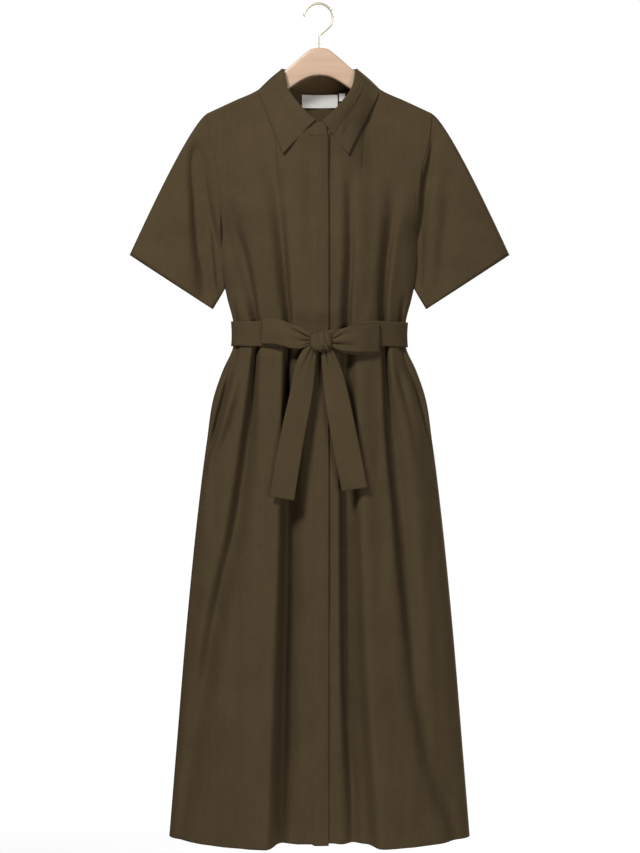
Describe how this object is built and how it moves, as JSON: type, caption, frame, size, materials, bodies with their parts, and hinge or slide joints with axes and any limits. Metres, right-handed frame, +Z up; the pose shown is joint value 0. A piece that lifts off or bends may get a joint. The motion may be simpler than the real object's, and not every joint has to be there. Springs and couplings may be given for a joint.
{
  "type": "shirt dress on a hanger",
  "caption": "Long short-sleeved shirt dress in olive-brown linen-like cloth, with a pointed collar, concealed placket and a belt tied in a bow, hung on a wooden hanger.",
  "frame": {"origin": "inside top of the hanger's hook, where a rail carries it", "axes": "+Z up, the front of the dress faces -Y, and +X is towards the wearer's left"},
  "size_m": [0.631, 0.1581, 1.3845],
  "materials": {
    "dress_cloth": "matt plain-weave linen-like cloth",
    "label_tape": "smooth woven tape",
    "hanger_wood": "pale beech, satin lacquer",
    "hook_wire": "polished champagne plating"
  },
  "bodies": {
    "root": {"front_right": "dress_cloth", "front_left": "dress_cloth", "back": "dress_cloth", "sleeve_right": "dress_cloth", "sleeve_left": "dress_cloth", "collar_stand": "dress_cloth", "collar": "dress_cloth", "belt_band": "dress_cloth", "belt_knot": "dress_cloth", "belt_loop_right": "dress_cloth", "belt_loop_left": "dress_cloth", "belt_tail_right": "dress_cloth", "belt_tail_left": "dress_cloth", "label_main": "label_tape", "label_size": "label_tape", "hanger_body": "hanger_wood", "hanger_hook": "hook_wire"}
  },
  "joints": []
}
